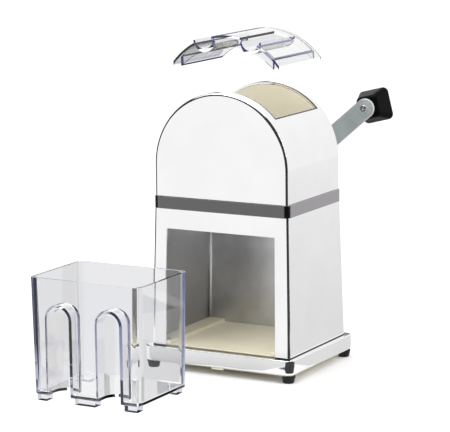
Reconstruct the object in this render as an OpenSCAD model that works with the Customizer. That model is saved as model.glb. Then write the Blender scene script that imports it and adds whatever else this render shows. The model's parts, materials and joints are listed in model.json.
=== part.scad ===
// Hand-cranked table-top ice crusher: a domed hopper over a toothed rotor, on a housing with a drawer.
// X runs to the right, +Y to the back and Z up; the origin is on the table, under the plinth's centre.
// The drawer is drawn pulled out in front, and the lid raised above its seat.

/* [Housing] */
// Width of the plinth
plinth_w = 159.2; // [158:0.2:162]
// Depth of the plinth
plinth_d = 132; // [131:0.2:134]
// Height of the plinth's top face above the table
plinth_top = 22; // [21.5:0.1:22.5]
// Width of the lower housing at its foot
lower_foot_w = 148; // [147:0.5:149]
// Depth of the lower housing at its foot
lower_foot_d = 118; // [117:0.5:120]
// Width of the lower housing at its top
lower_top_w = 142; // [141.6:0.2:143]
// Depth of the lower housing at its top
lower_top_d = 110.2; // [109.8:0.2:111]
// Width of the dome
dome_w = 140.4; // [140:0.2:141]
// Depth of the dome
dome_d = 109.4; // [109:0.2:110]
// Height of the lower housing's top edge
band_bottom = 153.7; // [153:0.1:155]
// Height of the band's top edge
band_top = 165.4; // [165:0.1:166]
// How far the band stands proud of the dome
band_proud = 1.9; // [1:0.1:2]
// Height of the axis that the dome's round roof is drawn about
spring_z = 195.8; // [195:0.2:197]
// Thickness of the housings' walls
wall = 2; // [1.6:0.1:2.4]
// Width of the drawer opening at its foot
opening_foot_w = 118; // [116:0.5:119]
// Width of the drawer opening at its top
opening_top_w = 115; // [114:0.5:117]
// Height of the drawer opening's top edge
opening_top = 135; // [134:0.5:137]

/* [Hopper] */
// Half width of the mouth in the roof
mouth_half_w = 50.9; // [50:0.1:52]
// Front edge of the mouth
mouth_front = -39.9; // [-40.3:0.1:-39.5]
// Rear edge of the mouth
mouth_rear = 43.1; // [42.5:0.1:43.5]
// Width of the liner's ledge inside the mouth
hopper_ledge = 1.1; // [0.8:0.1:1.3]
// Half width of the hopper's throat, above the rotor
throat_half_w = 31; // [30:0.5:31]

/* [Crank and rotor] */
// Height of the shaft's axis
shaft_z = 165; // [164.5:0.1:165.5]
// Radius of the shaft's round journals
shaft_r = 4; // [3.8:0.1:4.2]
// Radius of the rotor blades' tips
blade_tip_r = 28; // [26:0.5:28]
// Thickness of a rotor blade
blade_t = 3; // [2.5:0.1:3.5]
// Distance from one blade to the next
blade_pitch = 11; // [10.5:0.1:11.2]
// Distance from the shaft's axis to the knob's axis
crank_reach = 119.3; // [100:0.1:125]
// Width of the crank arm
arm_w = 18.7; // [17:0.1:20]
// Thickness of the crank arm
arm_t = 4; // [3:0.1:5]
// Angle at which the arm stands above level, to the right
arm_angle = 40.4; // [0:0.1:359]
// Width across the knob's far end
knob_w = 31.4; // [28:0.1:34]
// Width across the knob's near end
knob_near_w = 23; // [20:0.1:26]
// Length of the knob
knob_len = 25; // [24:0.1:28]

/* [Drawer] */
// Width of the drawer at its rim
drawer_top_w = 110.4; // [108:0.2:111]
// Width of the drawer at its floor
drawer_foot_w = 106.6; // [105:0.2:107]
// Depth of the drawer at its rim
drawer_top_d = 81.8; // [80:0.2:83]
// Depth of the drawer at its floor
drawer_foot_d = 80.6; // [78:0.2:81]
// Height of the drawer from its underside to its rim
drawer_h = 102.8; // [98:0.2:103]
// Thickness of the drawer's walls
drawer_wall = 2.2; // [1.8:0.1:2.6]
// Width of a finger alcove in the drawer's front
alcove_w = 22.6; // [20:0.2:24]
// Depth of a finger alcove
alcove_depth = 24; // [18:0.5:26]
// How far the drawer stands in front of its home position
drawer_out = 236.5; // [0:0.5:240]

/* [Lid] */
// Half width of the lid's flange
lid_half_w = 56; // [54:0.5:58]
// Front edge of the lid's flange
lid_front = -41.4; // [-42:0.1:-41]
// Rear edge of the lid's flange
lid_rear = 44.6; // [44.2:0.1:46]
// Radius of a finger trough in the lid
trough_r = 9.5; // [8:0.5:10]
// How far the lid stands above its seat
lid_raise = 50; // [0:1:60]

/* [Hidden] */
$fn = 64;
cut = 1;                 // how far a cutting tool runs past the face it cuts
fit = 0.06;              // radial clearance of a running or push fit
slice = 0.01;            // thickness of the thin end slices that a hull joins
gap = 0.3;               // clearance between pieces that only lie beside each other

// feet, base pan and plinth
foot_h = 7;
foot_top_r = 6.5;
foot_foot_r = 5.25;
foot_x = 72.8;
foot_y = 58.6;
foot_screw_r = 1.5;
foot_recess = 3;
foot_screw_head = 1.8;
foot_screw_len = 13;
plinth_corner_r = 7;
plinth_plate = 2;
pan_t = 3;
pan_tab_w = 12;
pan_tab_drop = 1.5;
foot_post_r = 4.4;
base_post_r = 4.5;
post_h = plinth_top - plinth_plate - foot_h;
base_screw_x = 64.5;
base_screw_y = 54.6;
base_screw_r = 1.7;
base_lug = 2.9;
base_lug_h = 9;
base_screw_seat = 11;    // height that the base screws' heads bear on
base_screw_head = 2.4;

// compartment
tray_floor = 24;
tray_ledge = 26.8;
tray_ledge_x = 53.5;
tray_rear = 49.7;
tray_shoulder = -46;
panel_front = 50;
panel_t = 1.3;
panel_top = 143.5;

// band, dome and the screws that join them to the lower housing
dome_r = dome_w / 2;
band_w = dome_w + 2 * band_proud;
band_d = dome_d + 2 * band_proud;
band_wall = wall + band_proud;
band_corner_r = 7;
deck_low = 156;
deck_top = 159;
boss_x = 60.5;
boss_y = 43.5;
boss_half = 4.5;
boss_top = 182;
lug_low = 147;
housing_screw_r = 1.8;
housing_screw_head = 2.4;
housing_screw_head_r = 3.15;
housing_screw_len = 31;
shaft_hole_r = 6;

// crusher chamber, comb and bushes
chamber_front = -40;
chamber_rear = 43.5;
chamber_wall = 3;
chamber_low = 141;
chamber_top = 195;
flange_w = 9;
flange_inset = 5;
flange_screw_x = throat_half_w + chamber_wall + 4.5;
flange_screw_y = [-25, 28.5];
flange_screw_r = 1.5;
flange_screw_head = 2;
hopper_wall = 2;
hopper_half_w = mouth_half_w - hopper_ledge;
hopper_front = mouth_front + hopper_ledge;
hopper_rear = mouth_rear - hopper_ledge;
hopper_bend_z = 222;
comb_bar_t = 2;
comb_bar_h = 10;
comb_tooth_t = 4;
comb_tooth_h = 6;
comb_tooth_tip = 8.5;
comb_screw_y = [-20, 24];
comb_screw_r = 1.2;
comb_screw_head = 1.6;
bush_r = 7;
bush_play = 0.02;
bush_flange_r = 9.5;
bush_flange_t = 2;

// rotor
rotor_mid = (chamber_front + chamber_rear) / 2;
blade_count = 6;
hex_r = 4.62;
spacer_r = 7;
blade_hub_r = 8;
blade_root = 5;          // half width of a blade's arm at the hub
blade_twist = 20;        // each blade is turned on by this angle from the last
blade_first = rotor_mid - blade_pitch * (blade_count - 1) / 2;
rotor_half = 37.75;
washer_t = 0.8;
washer_r = 8.5;
hex_front = rotor_mid - rotor_half - washer_t - 0.1;
hex_rear = rotor_mid + rotor_half + washer_t;
clip_front = chamber_front - bush_flange_t - 1;
clip_t = 0.8;
clip_r = 7;
clip_groove_r = 3.2;
clip_play = 0.05;
shaft_front = clip_front - 1.5;

// crank and knob
hub_front = 57.1;
arm_front = 66.5;
arm_rear = arm_front + arm_t;
hub_r = 9;
square_w = 6.4;
square_short = 0.2;       // the square end stops this far inside the arm
hub_screw_r = 1.5;
hub_screw_len = 11;
hub_screw_head_r = 4.6;
hub_screw_top_r = 3;
hub_screw_head = 2.6;
hub_washer_r = 6;
hub_washer_t = 1;
knob_x = crank_reach * cos(arm_angle);
knob_z = shaft_z + crank_reach * sin(arm_angle);
collar_r = 7;
collar_t = 1.5;
spindle_r = 4;
spindle_len = knob_len - 5.4;
spindle_end = arm_rear + collar_t + spindle_len;
knob_front = arm_rear + collar_t + 0.4;
knob_rear = knob_front + knob_len;
knob_round = 5;
knob_turn = 14;
knob_seat = knob_rear - 6.2;
knob_well_r = 7.5;
knob_cap_t = 2;
retainer_r = 6.5;
retainer_t = 1;
retainer_head_r = 3;
retainer_head = 1.4;
retainer_screw_len = 8;
knob_screw_r = 2;
knob_screw_head_r = 3.5;
knob_screw_head = 1.8;
knob_screw_len = 11;     // how far the knob's screw runs past the arm
knob_disc_r = 6.8;
knob_disc_t = 0.8;

// drawer and lid
drawer_home_y = -17.5;
drawer_low = 29.7;
drawer_floor_t = 2.4;
drawer_corner_r = 5.5;
drawer_inner_r = 7;
drawer_y = drawer_home_y - drawer_out;
alcove_x = [-27.1, 23.1];
alcove_top = drawer_low + drawer_h - 24.5;
alcove_wall = 2;
alcove_round_z = alcove_top - alcove_w / 2;
alcove_round_y = drawer_y - drawer_top_d / 2 + alcove_depth - alcove_w / 2;
pad_h = 5.5;
pad_d = 10;
pad_inset = 1.5;
pad_front_x = [-45.6, -2, 43.6];
pad_front_w = [9.5, 20.5, 12.5];
pad_rear_x = [-44, 44];
pad_rear_w = 10.5;
lid_t = 2.2;
lid_in_r = dome_r + gap;
lid_out_r = lid_in_r + lid_t;
skirt_depth = 10;
skirt_t = 2;
skirt_half_w = 49.3;
skirt_front = hopper_front + 0.4;
skirt_rear = hopper_rear - 0.4;
trough_x = 24.5;
trough_wall = 1.8;
trough_rear = 28;
trough_z = sqrt(lid_out_r * lid_out_r - trough_x * trough_x);

chrome = [0.88, 0.88, 0.9];
cream = [0.88, 0.85, 0.74];
dark_grey = [0.32, 0.32, 0.33];
panel_grey = [0.5, 0.5, 0.52];
steel = [0.66, 0.68, 0.7];
brass = [0.78, 0.64, 0.36];
black = [0.08, 0.08, 0.08];
clear = [0.72, 0.74, 0.88, 0.45];

// Width of the lower housing at height z
function lower_w(z) =
    lower_foot_w + (lower_top_w - lower_foot_w) * (z - plinth_top) / (band_bottom - plinth_top);

// Depth of the lower housing at height z
function lower_d(z) =
    lower_foot_d + (lower_top_d - lower_foot_d) * (z - plinth_top) / (band_bottom - plinth_top);

// Extrudes a front-view outline (X, Z) from y0 to y1
module along_y(y0, y1) {
    translate([0, y1, 0]) rotate([90, 0, 0]) linear_extrude(y1 - y0) children();
}

// Extrudes a side-view outline (Y, Z) from x0 to x1
module along_x(x0, x1) {
    translate([x0, 0, 0]) rotate([90, 0, 90]) linear_extrude(x1 - x0) children();
}

// Round bar along Y, from y0 to y1, about the axis at x and z
module bar_y(r, y0, y1, x = 0, z = 0) {
    translate([x, y0, z]) rotate([-90, 0, 0]) cylinder(h = y1 - y0, r = r);
}

// Hexagonal bar along Y about the shaft's axis
module hex_y(r, y0, y1) {
    translate([0, y0, shaft_z]) rotate([-90, 0, 0]) cylinder(h = y1 - y0, r = r, $fn = 6);
}

// Rectangle with round corners
module round_rect(w, d, r) {
    square([w, d - 2 * r], center = true);
    square([w - 2 * r, d], center = true);
    for (sx = [-1, 1], sy = [-1, 1])
        translate([sx * (w / 2 - r), sy * (d / 2 - r)]) circle(r);
}

// Repeats a piece at four corners
module corners(x, y) {
    for (sx = [-1, 1], sy = [-1, 1])
        translate([sx * x, sy * y, 0]) children();
}

// Box between two opposite corners
module box(low, high) {
    translate(low) cube(high - low);
}

// Block with the lower housing's four leaning sides, drawn in by inset, from z0 to z1
module leaning_block(inset, z0, z1) {
    intersection() {
        along_y(-lower_foot_d, lower_foot_d) polygon([
            [-lower_w(z0) / 2 + inset, z0], [lower_w(z0) / 2 - inset, z0],
            [lower_w(z1) / 2 - inset, z1], [-lower_w(z1) / 2 + inset, z1]]);
        along_x(-lower_foot_w, lower_foot_w) polygon([
            [-lower_d(z0) / 2 + inset, z0], [lower_d(z0) / 2 - inset, z0],
            [lower_d(z1) / 2 - inset, z1], [-lower_d(z1) / 2 + inset, z1]]);
    }
}

// Front-view outline of the dome, of roof radius r, from height z0 up
module dome_outline(r, z0) {
    translate([-r, z0]) square([2 * r, spring_z - z0]);
    intersection() {
        translate([0, spring_z]) circle(r, $fn = 128);
        translate([-r, spring_z - cut]) square([2 * r, r + 2 * cut]);
    }
}

module foot(sx, sy) {
    color(black) translate([sx * foot_x, sy * foot_y, 0]) difference() {
        cylinder(h = foot_h, r1 = foot_foot_r, r2 = foot_top_r);
        translate([0, 0, -cut]) cylinder(h = foot_recess + cut, r = foot_screw_r * 2 + gap);
        cylinder(h = foot_h + cut, r = foot_screw_r + fit);
    }
}

module foot_screws() {
    color(steel) corners(foot_x, foot_y) {
        translate([0, 0, foot_recess - foot_screw_head])
            cylinder(h = foot_screw_head, r = foot_screw_r * 2);
        translate([0, 0, foot_recess]) cylinder(h = foot_screw_len, r = foot_screw_r);
    }
}

module base_pan() {
    color(cream) difference() {
        union() {
            translate([0, 0, foot_h])
                linear_extrude(pan_t)
                    round_rect(plinth_w - 2 * wall - 2 * gap, plinth_d - 2 * wall - 2 * gap,
                        plinth_corner_r - wall);
            corners(foot_x, foot_y)
                translate([0, 0, foot_h]) cylinder(h = post_h, r = foot_post_r);
            corners(base_screw_x, base_screw_y)
                translate([0, 0, foot_h]) cylinder(h = post_h, r = base_post_r);
            box([-pan_tab_w / 2, -plinth_d / 2 + wall + gap, foot_h - pan_tab_drop],
                [pan_tab_w / 2, -plinth_d / 2 + 2 * wall + gap, foot_h + pan_t]);
        }
        corners(foot_x, foot_y)
            cylinder(h = foot_recess + foot_screw_len + cut, r = foot_screw_r + fit);
        corners(base_screw_x, base_screw_y) {
            cylinder(h = plinth_top, r = base_screw_r + fit);
            cylinder(h = base_screw_seat, r = base_screw_r * 2 + fit);
        }
    }
}

module base_plinth() {
    color(chrome) difference() {
        translate([0, 0, foot_h])
            linear_extrude(plinth_top - foot_h) round_rect(plinth_w, plinth_d, plinth_corner_r);
        translate([0, 0, foot_h - cut])
            linear_extrude(plinth_top - plinth_plate - foot_h + cut)
                round_rect(plinth_w - 2 * wall, plinth_d - 2 * wall, plinth_corner_r - wall);
        corners(base_screw_x, base_screw_y) cylinder(h = plinth_top + cut, r = base_screw_r + fit);
    }
}

module base_screws() {
    color(steel) corners(base_screw_x, base_screw_y) {
        translate([0, 0, base_screw_seat - base_screw_head])
            cylinder(h = base_screw_head, r = base_screw_r * 2);
        translate([0, 0, base_screw_seat])
            cylinder(h = plinth_top + base_lug_h - 2 * cut - base_screw_seat, r = base_screw_r);
    }
}

module base_tray() {
    tray_half_w = lower_w(tray_ledge) / 2 - wall - gap;
    neck_half_w = opening_foot_w / 2 - gap;
    tray_front = -lower_d(tray_ledge) / 2;
    color(cream) {
        box([-neck_half_w, tray_front, plinth_top], [neck_half_w, tray_shoulder, tray_floor]);
        box([-tray_half_w, tray_shoulder, plinth_top], [tray_half_w, tray_rear, tray_floor]);
        for (side = [0, 1]) mirror([side, 0, 0]) {
            box([tray_ledge_x, tray_front, plinth_top], [neck_half_w, tray_shoulder, tray_ledge]);
            box([tray_ledge_x, tray_shoulder, plinth_top], [tray_half_w, tray_rear, tray_ledge]);
        }
    }
}

module back_panel() {
    foot_half = lower_w(plinth_top) / 2 - wall - gap;
    top_half = lower_w(panel_top) / 2 - wall - gap;
    color(panel_grey) along_y(panel_front, panel_front + panel_t)
        polygon([[-foot_half, plinth_top], [foot_half, plinth_top],
            [top_half, panel_top], [-top_half, panel_top]]);
}

module lower_housing() {
    color(chrome) difference() {
        union() {
            difference() {
                leaning_block(0, plinth_top, band_bottom);
                leaning_block(wall, plinth_top - cut, band_bottom + cut);
            }
            intersection() {
                leaning_block(wall / 2, plinth_top, band_bottom);
                union() {
                    for (sx = [0, 1], sy = [0, 1]) mirror([sx, 0, 0]) mirror([0, sy, 0]) {
                        box([base_screw_x - base_lug, base_screw_y - base_lug, plinth_top],
                            [lower_foot_w / 2, lower_foot_d / 2, plinth_top + base_lug_h]);
                        box([boss_x - boss_half, boss_y - boss_half, lug_low],
                            [lower_foot_w / 2, lower_foot_d / 2, band_bottom]);
                    }
                }
            }
        }
        along_y(-lower_foot_d, -lower_top_d / 2 + wall + cut) polygon([
            [-opening_foot_w / 2, plinth_top - cut], [opening_foot_w / 2, plinth_top - cut],
            [opening_top_w / 2, opening_top], [-opening_top_w / 2, opening_top]]);
        corners(base_screw_x, base_screw_y)
            cylinder(h = plinth_top + base_lug_h - cut, r = base_screw_r + fit);
        corners(boss_x, boss_y)
            translate([0, 0, lug_low - cut])
                cylinder(h = band_bottom - lug_low + 2 * cut, r = housing_screw_r + fit);
    }
}

module middle_band() {
    color(dark_grey) difference() {
        translate([0, 0, band_bottom])
            linear_extrude(band_top - band_bottom) round_rect(band_w, band_d, band_corner_r);
        difference() {
            union() {
                box([-band_w / 2 + band_wall, -band_d / 2 + band_wall, deck_top],
                    [band_w / 2 - band_wall, band_d / 2 - band_wall, band_top + cut]);
                box([-band_w / 2 + band_wall, -band_d / 2 + band_wall, band_bottom - cut],
                    [band_w / 2 - band_wall, band_d / 2 - band_wall, deck_low]);
            }
            corners(boss_x, boss_y)
                translate([0, 0, band_bottom]) cylinder(h = band_top - band_bottom, r = boss_half);
        }
        box([-throat_half_w - chamber_wall - gap, shaft_front - gap, deck_low - cut],
            [throat_half_w + chamber_wall + gap, chamber_rear + bush_flange_t + gap, deck_top + cut]);
        for (sx = [-1, 1], y = flange_screw_y)
            translate([sx * flange_screw_x, y, deck_low - cut])
                cylinder(h = deck_top - deck_low + 2 * cut, r = flange_screw_r + fit);
        corners(boss_x, boss_y)
            translate([0, 0, band_bottom - cut])
                cylinder(h = band_top - band_bottom + 2 * cut, r = housing_screw_r + fit);
        bar_y(shaft_hole_r, dome_d / 2 - 2 * wall, band_d / 2 + cut, 0, shaft_z);
    }
}

module upper_housing() {
    color(chrome) difference() {
        union() {
            difference() {
                along_y(-dome_d / 2, dome_d / 2) dome_outline(dome_r, band_top);
                along_y(-dome_d / 2 + wall, dome_d / 2 - wall)
                    dome_outline(dome_r - wall, band_top - cut);
            }
            for (sx = [0, 1], sy = [0, 1]) mirror([sx, 0, 0]) mirror([0, sy, 0])
                box([boss_x - boss_half, boss_y - boss_half, band_top],
                    [dome_r - wall / 2, dome_d / 2 - wall / 2, boss_top]);
        }
        box([-mouth_half_w, mouth_front, spring_z],
            [mouth_half_w, mouth_rear, spring_z + dome_r + cut]);
        corners(boss_x, boss_y)
            translate([0, 0, band_top - cut])
                cylinder(h = lug_low + housing_screw_len - band_top + 2 * cut, r = housing_screw_r + fit);
        bar_y(shaft_hole_r, dome_d / 2 - 2 * wall, band_d / 2 + cut, 0, shaft_z);
    }
}

module housing_screws() {
    color(steel) corners(boss_x, boss_y) {
        translate([0, 0, lug_low - housing_screw_head])
            cylinder(h = housing_screw_head, r = housing_screw_head_r);
        translate([0, 0, lug_low]) cylinder(h = housing_screw_len, r = housing_screw_r);
    }
}

// Front-view outline of the hopper: throat below, sloping sides, round top
module hopper_outline(half_w, throat_w, roof_r) {
    intersection() {
        translate([0, spring_z]) circle(roof_r, $fn = 128);
        polygon([[-throat_w, chamber_top], [throat_w, chamber_top], [half_w, hopper_bend_z],
            [half_w, spring_z + dome_r], [-half_w, spring_z + dome_r], [-half_w, hopper_bend_z]]);
    }
}

module hopper() {
    color(cream) difference() {
        along_y(mouth_front - hopper_wall, mouth_rear + hopper_wall)
            hopper_outline(mouth_half_w + hopper_wall, throat_half_w + hopper_wall, dome_r - wall - gap);
        along_y(hopper_front, hopper_rear) {
            hopper_outline(hopper_half_w, throat_half_w, dome_r);
            translate([-throat_half_w, chamber_top - cut]) square([2 * throat_half_w, 2 * cut]);
        }
    }
}

module crusher_chamber() {
    half_w = throat_half_w + chamber_wall;
    color(steel) difference() {
        union() {
            box([-half_w, chamber_front, chamber_low], [half_w, chamber_rear, chamber_top]);
            box([-half_w - flange_w, chamber_front + flange_inset, deck_top],
                [half_w + flange_w, chamber_rear - flange_inset, deck_top + chamber_wall]);
        }
        box([-throat_half_w, chamber_front + chamber_wall, chamber_low - cut],
            [throat_half_w, chamber_rear - chamber_wall, chamber_top + cut]);
        bar_y(bush_r, chamber_front - cut, chamber_rear + cut, 0, shaft_z);
        for (sx = [-1, 1], y = flange_screw_y)
            translate([sx * flange_screw_x, y, deck_top - cut])
                cylinder(h = chamber_wall + 2 * cut, r = flange_screw_r + fit);
        for (y = comb_screw_y)
            translate([0, y, shaft_z])
                rotate([0, 90, 0]) cylinder(h = half_w + cut, r = comb_screw_r + fit);
    }
}

module chamber_screws() {
    color(steel) for (sx = [-1, 1], y = flange_screw_y) translate([sx * flange_screw_x, y, 0]) {
        translate([0, 0, deck_low - cut])
            cylinder(h = deck_top + chamber_wall - deck_low + cut, r = flange_screw_r);
        translate([0, 0, deck_top + chamber_wall])
            cylinder(h = flange_screw_head, r = flange_screw_r * 2);
    }
}

module fixed_comb() {
    bar_x = throat_half_w - comb_bar_t;
    bar_half = rotor_half - 1;
    color(steel) difference() {
        union() {
            box([bar_x, rotor_mid - bar_half, shaft_z - comb_bar_h / 2],
                [throat_half_w, rotor_mid + bar_half, shaft_z + comb_bar_h / 2]);
            for (i = [0 : blade_count])
                translate([0, blade_first + (i - 0.5) * blade_pitch, 0])
                    box([comb_tooth_tip, -comb_tooth_t / 2, shaft_z - comb_tooth_h / 2],
                        [bar_x + cut, comb_tooth_t / 2, shaft_z + comb_tooth_h / 2]);
        }
        for (y = comb_screw_y)
            translate([bar_x - 2 * cut, y, shaft_z])
                rotate([0, 90, 0]) cylinder(h = comb_bar_t + 3 * cut, r = comb_screw_r + fit);
    }
}

module comb_screws() {
    color(steel) for (y = comb_screw_y) translate([0, y, shaft_z]) rotate([0, 90, 0]) {
        translate([0, 0, throat_half_w - comb_bar_t - cut])
            cylinder(h = comb_bar_t + chamber_wall + cut, r = comb_screw_r);
        translate([0, 0, throat_half_w + chamber_wall])
            cylinder(h = comb_screw_head, r = comb_screw_r * 2);
    }
}

// Flanged bush through a wall of the chamber, from inner to the flange's face at outer
module bush(inner, outer) {
    wall_end = outer > inner ? outer - bush_flange_t : outer + bush_flange_t;
    color(brass) difference() {
        union() {
            bar_y(bush_r - bush_play, min(inner, wall_end), max(inner, wall_end), 0, shaft_z);
            bar_y(bush_flange_r, min(outer, wall_end), max(outer, wall_end), 0, shaft_z);
        }
        bar_y(shaft_r + fit, min(inner, outer) - cut, max(inner, outer) + cut, 0, shaft_z);
    }
}

module front_bearing() {
    bush(chamber_front + chamber_wall, chamber_front - bush_flange_t);
}

module rear_bearing() {
    bush(chamber_rear - chamber_wall, chamber_rear + bush_flange_t);
}

module rotor_shaft() {
    color(steel) difference() {
        union() {
            bar_y(shaft_r, shaft_front, hub_front, 0, shaft_z);
            hex_y(hex_r, hex_front, hex_rear);
            translate([0, 0, shaft_z]) rotate([0, -arm_angle, 0])
                box([-square_w / 2, hub_front - cut, -square_w / 2],
                    [square_w / 2, arm_rear - square_short, square_w / 2]);
        }
        difference() {
            bar_y(shaft_r + cut, clip_front - clip_play, clip_front + clip_t + clip_play, 0, shaft_z);
            bar_y(clip_groove_r, clip_front - cut, clip_front + clip_t + cut, 0, shaft_z);
        }
        bar_y(hub_screw_r + fit, arm_rear - hub_screw_len - 1, arm_rear + cut, 0, shaft_z);
    }
}

// Three-armed blade number index, each one turned on from the last
module rotor_blade(index) {
    color(steel) translate([0, blade_first + index * blade_pitch, shaft_z]) difference() {
        union() {
            bar_y(blade_hub_r, -blade_t / 2, blade_t / 2);
            for (arm = [0 : 2])
                rotate([0, index * blade_twist + arm * 120, 0]) along_y(-blade_t / 2, blade_t / 2)
                    polygon([[-blade_root, blade_root], [-blade_root * 0.7, blade_tip_r - blade_root],
                        [0, blade_tip_r], [blade_root * 0.3, blade_tip_r - 1],
                        [blade_root, blade_root]]);
        }
        translate([0, 0, -shaft_z]) hex_y(hex_r + fit, -blade_t, blade_t);
    }
}

module spacer(y0, y1) {
    difference() {
        bar_y(spacer_r, y0, y1, 0, shaft_z);
        hex_y(hex_r + fit, y0 - cut, y1 + cut);
    }
}

module rotor_spacers() {
    color(steel) {
        spacer(rotor_mid - rotor_half, blade_first - blade_t / 2);
        for (i = [0 : blade_count - 2])
            spacer(blade_first + i * blade_pitch + blade_t / 2,
                blade_first + (i + 1) * blade_pitch - blade_t / 2);
        spacer(blade_first + (blade_count - 1) * blade_pitch + blade_t / 2, rotor_mid + rotor_half);
    }
}

module thrust_washers() {
    color(brass) for (y = [rotor_mid - rotor_half - washer_t, rotor_mid + rotor_half])
        difference() {
            bar_y(washer_r, y, y + washer_t, 0, shaft_z);
            hex_y(hex_r + fit, y - cut, y + washer_t + cut);
        }
}

module shaft_clip() {
    color(steel) difference() {
        bar_y(clip_r, clip_front, clip_front + clip_t, 0, shaft_z);
        bar_y(clip_groove_r + fit, clip_front - cut, clip_front + clip_t + cut, 0, shaft_z);
        box([-clip_groove_r, clip_front - cut, shaft_z - clip_r - cut],
            [clip_groove_r, clip_front + clip_t + cut, shaft_z]);
    }
}

// Square hole for the shaft's end, from y0 to y1
module square_hole(y0, y1) {
    translate([0, 0, shaft_z]) rotate([0, -arm_angle, 0])
        box([-square_w / 2 - fit, y0, -square_w / 2 - fit], [square_w / 2 + fit, y1, square_w / 2 + fit]);
}

module crank_hub() {
    color(steel) difference() {
        bar_y(hub_r, hub_front, arm_front, 0, shaft_z);
        square_hole(hub_front - cut, arm_front + cut);
    }
}

module crank_arm() {
    color(steel) difference() {
        translate([0, 0, shaft_z]) rotate([0, -arm_angle, 0]) along_y(arm_front, arm_rear) {
            circle(arm_w / 2);
            translate([0, -arm_w / 2]) square([crank_reach, arm_w]);
            translate([crank_reach, 0]) circle(arm_w / 2);
        }
        square_hole(arm_front - cut, arm_rear + cut);
        bar_y(knob_screw_r + fit, arm_front - cut, arm_rear + cut, knob_x, knob_z);
    }
}

module hub_washer() {
    color(steel) difference() {
        bar_y(hub_washer_r, arm_rear, arm_rear + hub_washer_t, 0, shaft_z);
        bar_y(hub_screw_r + fit, arm_rear - cut, arm_rear + hub_washer_t + cut, 0, shaft_z);
    }
}

module hub_screw() {
    color(steel) {
        bar_y(hub_screw_r, arm_rear - hub_screw_len, arm_rear + hub_washer_t, 0, shaft_z);
        translate([0, arm_rear + hub_washer_t, shaft_z]) rotate([-90, 0, 0])
            cylinder(h = hub_screw_head, r1 = hub_screw_head_r, r2 = hub_screw_top_r);
    }
}

module knob_disc() {
    color(steel) difference() {
        bar_y(knob_disc_r, arm_front - knob_disc_t, arm_front, knob_x, knob_z);
        bar_y(knob_screw_r + fit, arm_front - knob_disc_t - cut, arm_front + cut, knob_x, knob_z);
    }
}

module knob_screw() {
    head_rear = arm_front - knob_disc_t;
    color(steel) {
        bar_y(knob_screw_head_r, head_rear - knob_screw_head, head_rear, knob_x, knob_z);
        bar_y(knob_screw_r, head_rear, arm_rear + knob_screw_len, knob_x, knob_z);
    }
}

module knob_spindle() {
    color(steel) difference() {
        union() {
            bar_y(collar_r, arm_rear, arm_rear + collar_t, knob_x, knob_z);
            bar_y(spindle_r, arm_rear, spindle_end, knob_x, knob_z);
        }
        bar_y(knob_screw_r + fit, arm_rear - cut, arm_rear + knob_screw_len + cut, knob_x, knob_z);
        bar_y(hub_screw_r + fit, spindle_end - retainer_screw_len - cut, spindle_end + cut, knob_x, knob_z);
    }
}

module knob_retainer() {
    head_front = spindle_end + retainer_t;
    color(steel) {
        bar_y(retainer_r, spindle_end, head_front, knob_x, knob_z);
        bar_y(retainer_head_r, head_front, head_front + retainer_head, knob_x, knob_z);
        bar_y(hub_screw_r, spindle_end - retainer_screw_len, spindle_end, knob_x, knob_z);
    }
}

module knob() {
    color(black) difference() {
        translate([knob_x, 0, knob_z]) rotate([0, -knob_turn, 0]) hull() {
            for (sx = [-1, 1], sz = [-1, 1]) {
                translate([sx * (knob_near_w / 2 - knob_round), knob_front + knob_round,
                    sz * (knob_near_w / 2 - knob_round)]) sphere(knob_round, $fn = 32);
                translate([sx * (knob_w / 2 - knob_round), knob_rear - knob_round,
                    sz * (knob_w / 2 - knob_round)]) sphere(knob_round, $fn = 32);
            }
        }
        bar_y(spindle_r + fit, knob_front - cut, knob_rear, knob_x, knob_z);
        bar_y(knob_well_r, knob_seat, knob_rear + cut, knob_x, knob_z);
    }
}

module knob_cap() {
    color(black) bar_y(knob_well_r - fit, knob_rear - knob_cap_t, knob_rear, knob_x, knob_z);
}

// Solid with the drawer's leaning sides, drawn in by inset, with corners of radius r, from z0 to z1
module drawer_block(inset, r, z0, z1) {
    hull() {
        translate([0, drawer_y, z0]) linear_extrude(slice)
            round_rect(drawer_foot_w - 2 * inset, drawer_foot_d - 2 * inset, r, $fn = 32);
        translate([0, drawer_y, z1 - slice]) linear_extrude(slice)
            round_rect(drawer_top_w - 2 * inset, drawer_top_d - 2 * inset, r, $fn = 32);
    }
}

// Finger alcove, grown outward by grow: an arched slot that ends in a round back and a domed top
module alcove(grow) {
    low = drawer_low - cut;
    r = alcove_w / 2 + grow;
    along_y(drawer_y - drawer_top_d / 2 - cut, alcove_round_y) {
        translate([-r, low]) square([2 * r, alcove_round_z - low]);
        translate([0, alcove_round_z]) circle(r);
    }
    translate([0, alcove_round_y, low]) cylinder(h = alcove_round_z - low, r = r);
    translate([0, alcove_round_y, alcove_round_z]) sphere(r);
}

module drawer() {
    color(clear) difference() {
        union() {
            difference() {
                drawer_block(0, drawer_corner_r, drawer_low, drawer_low + drawer_h);
                drawer_block(drawer_wall, drawer_inner_r, drawer_low + drawer_floor_t,
                    drawer_low + drawer_h + cut);
            }
            intersection() {
                drawer_block(drawer_wall / 2, drawer_corner_r, drawer_low, drawer_low + drawer_h);
                for (x = alcove_x) translate([x, 0, 0]) alcove(alcove_wall);
            }
        }
        for (x = alcove_x) translate([x, 0, 0]) alcove(0);
    }
}

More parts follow.
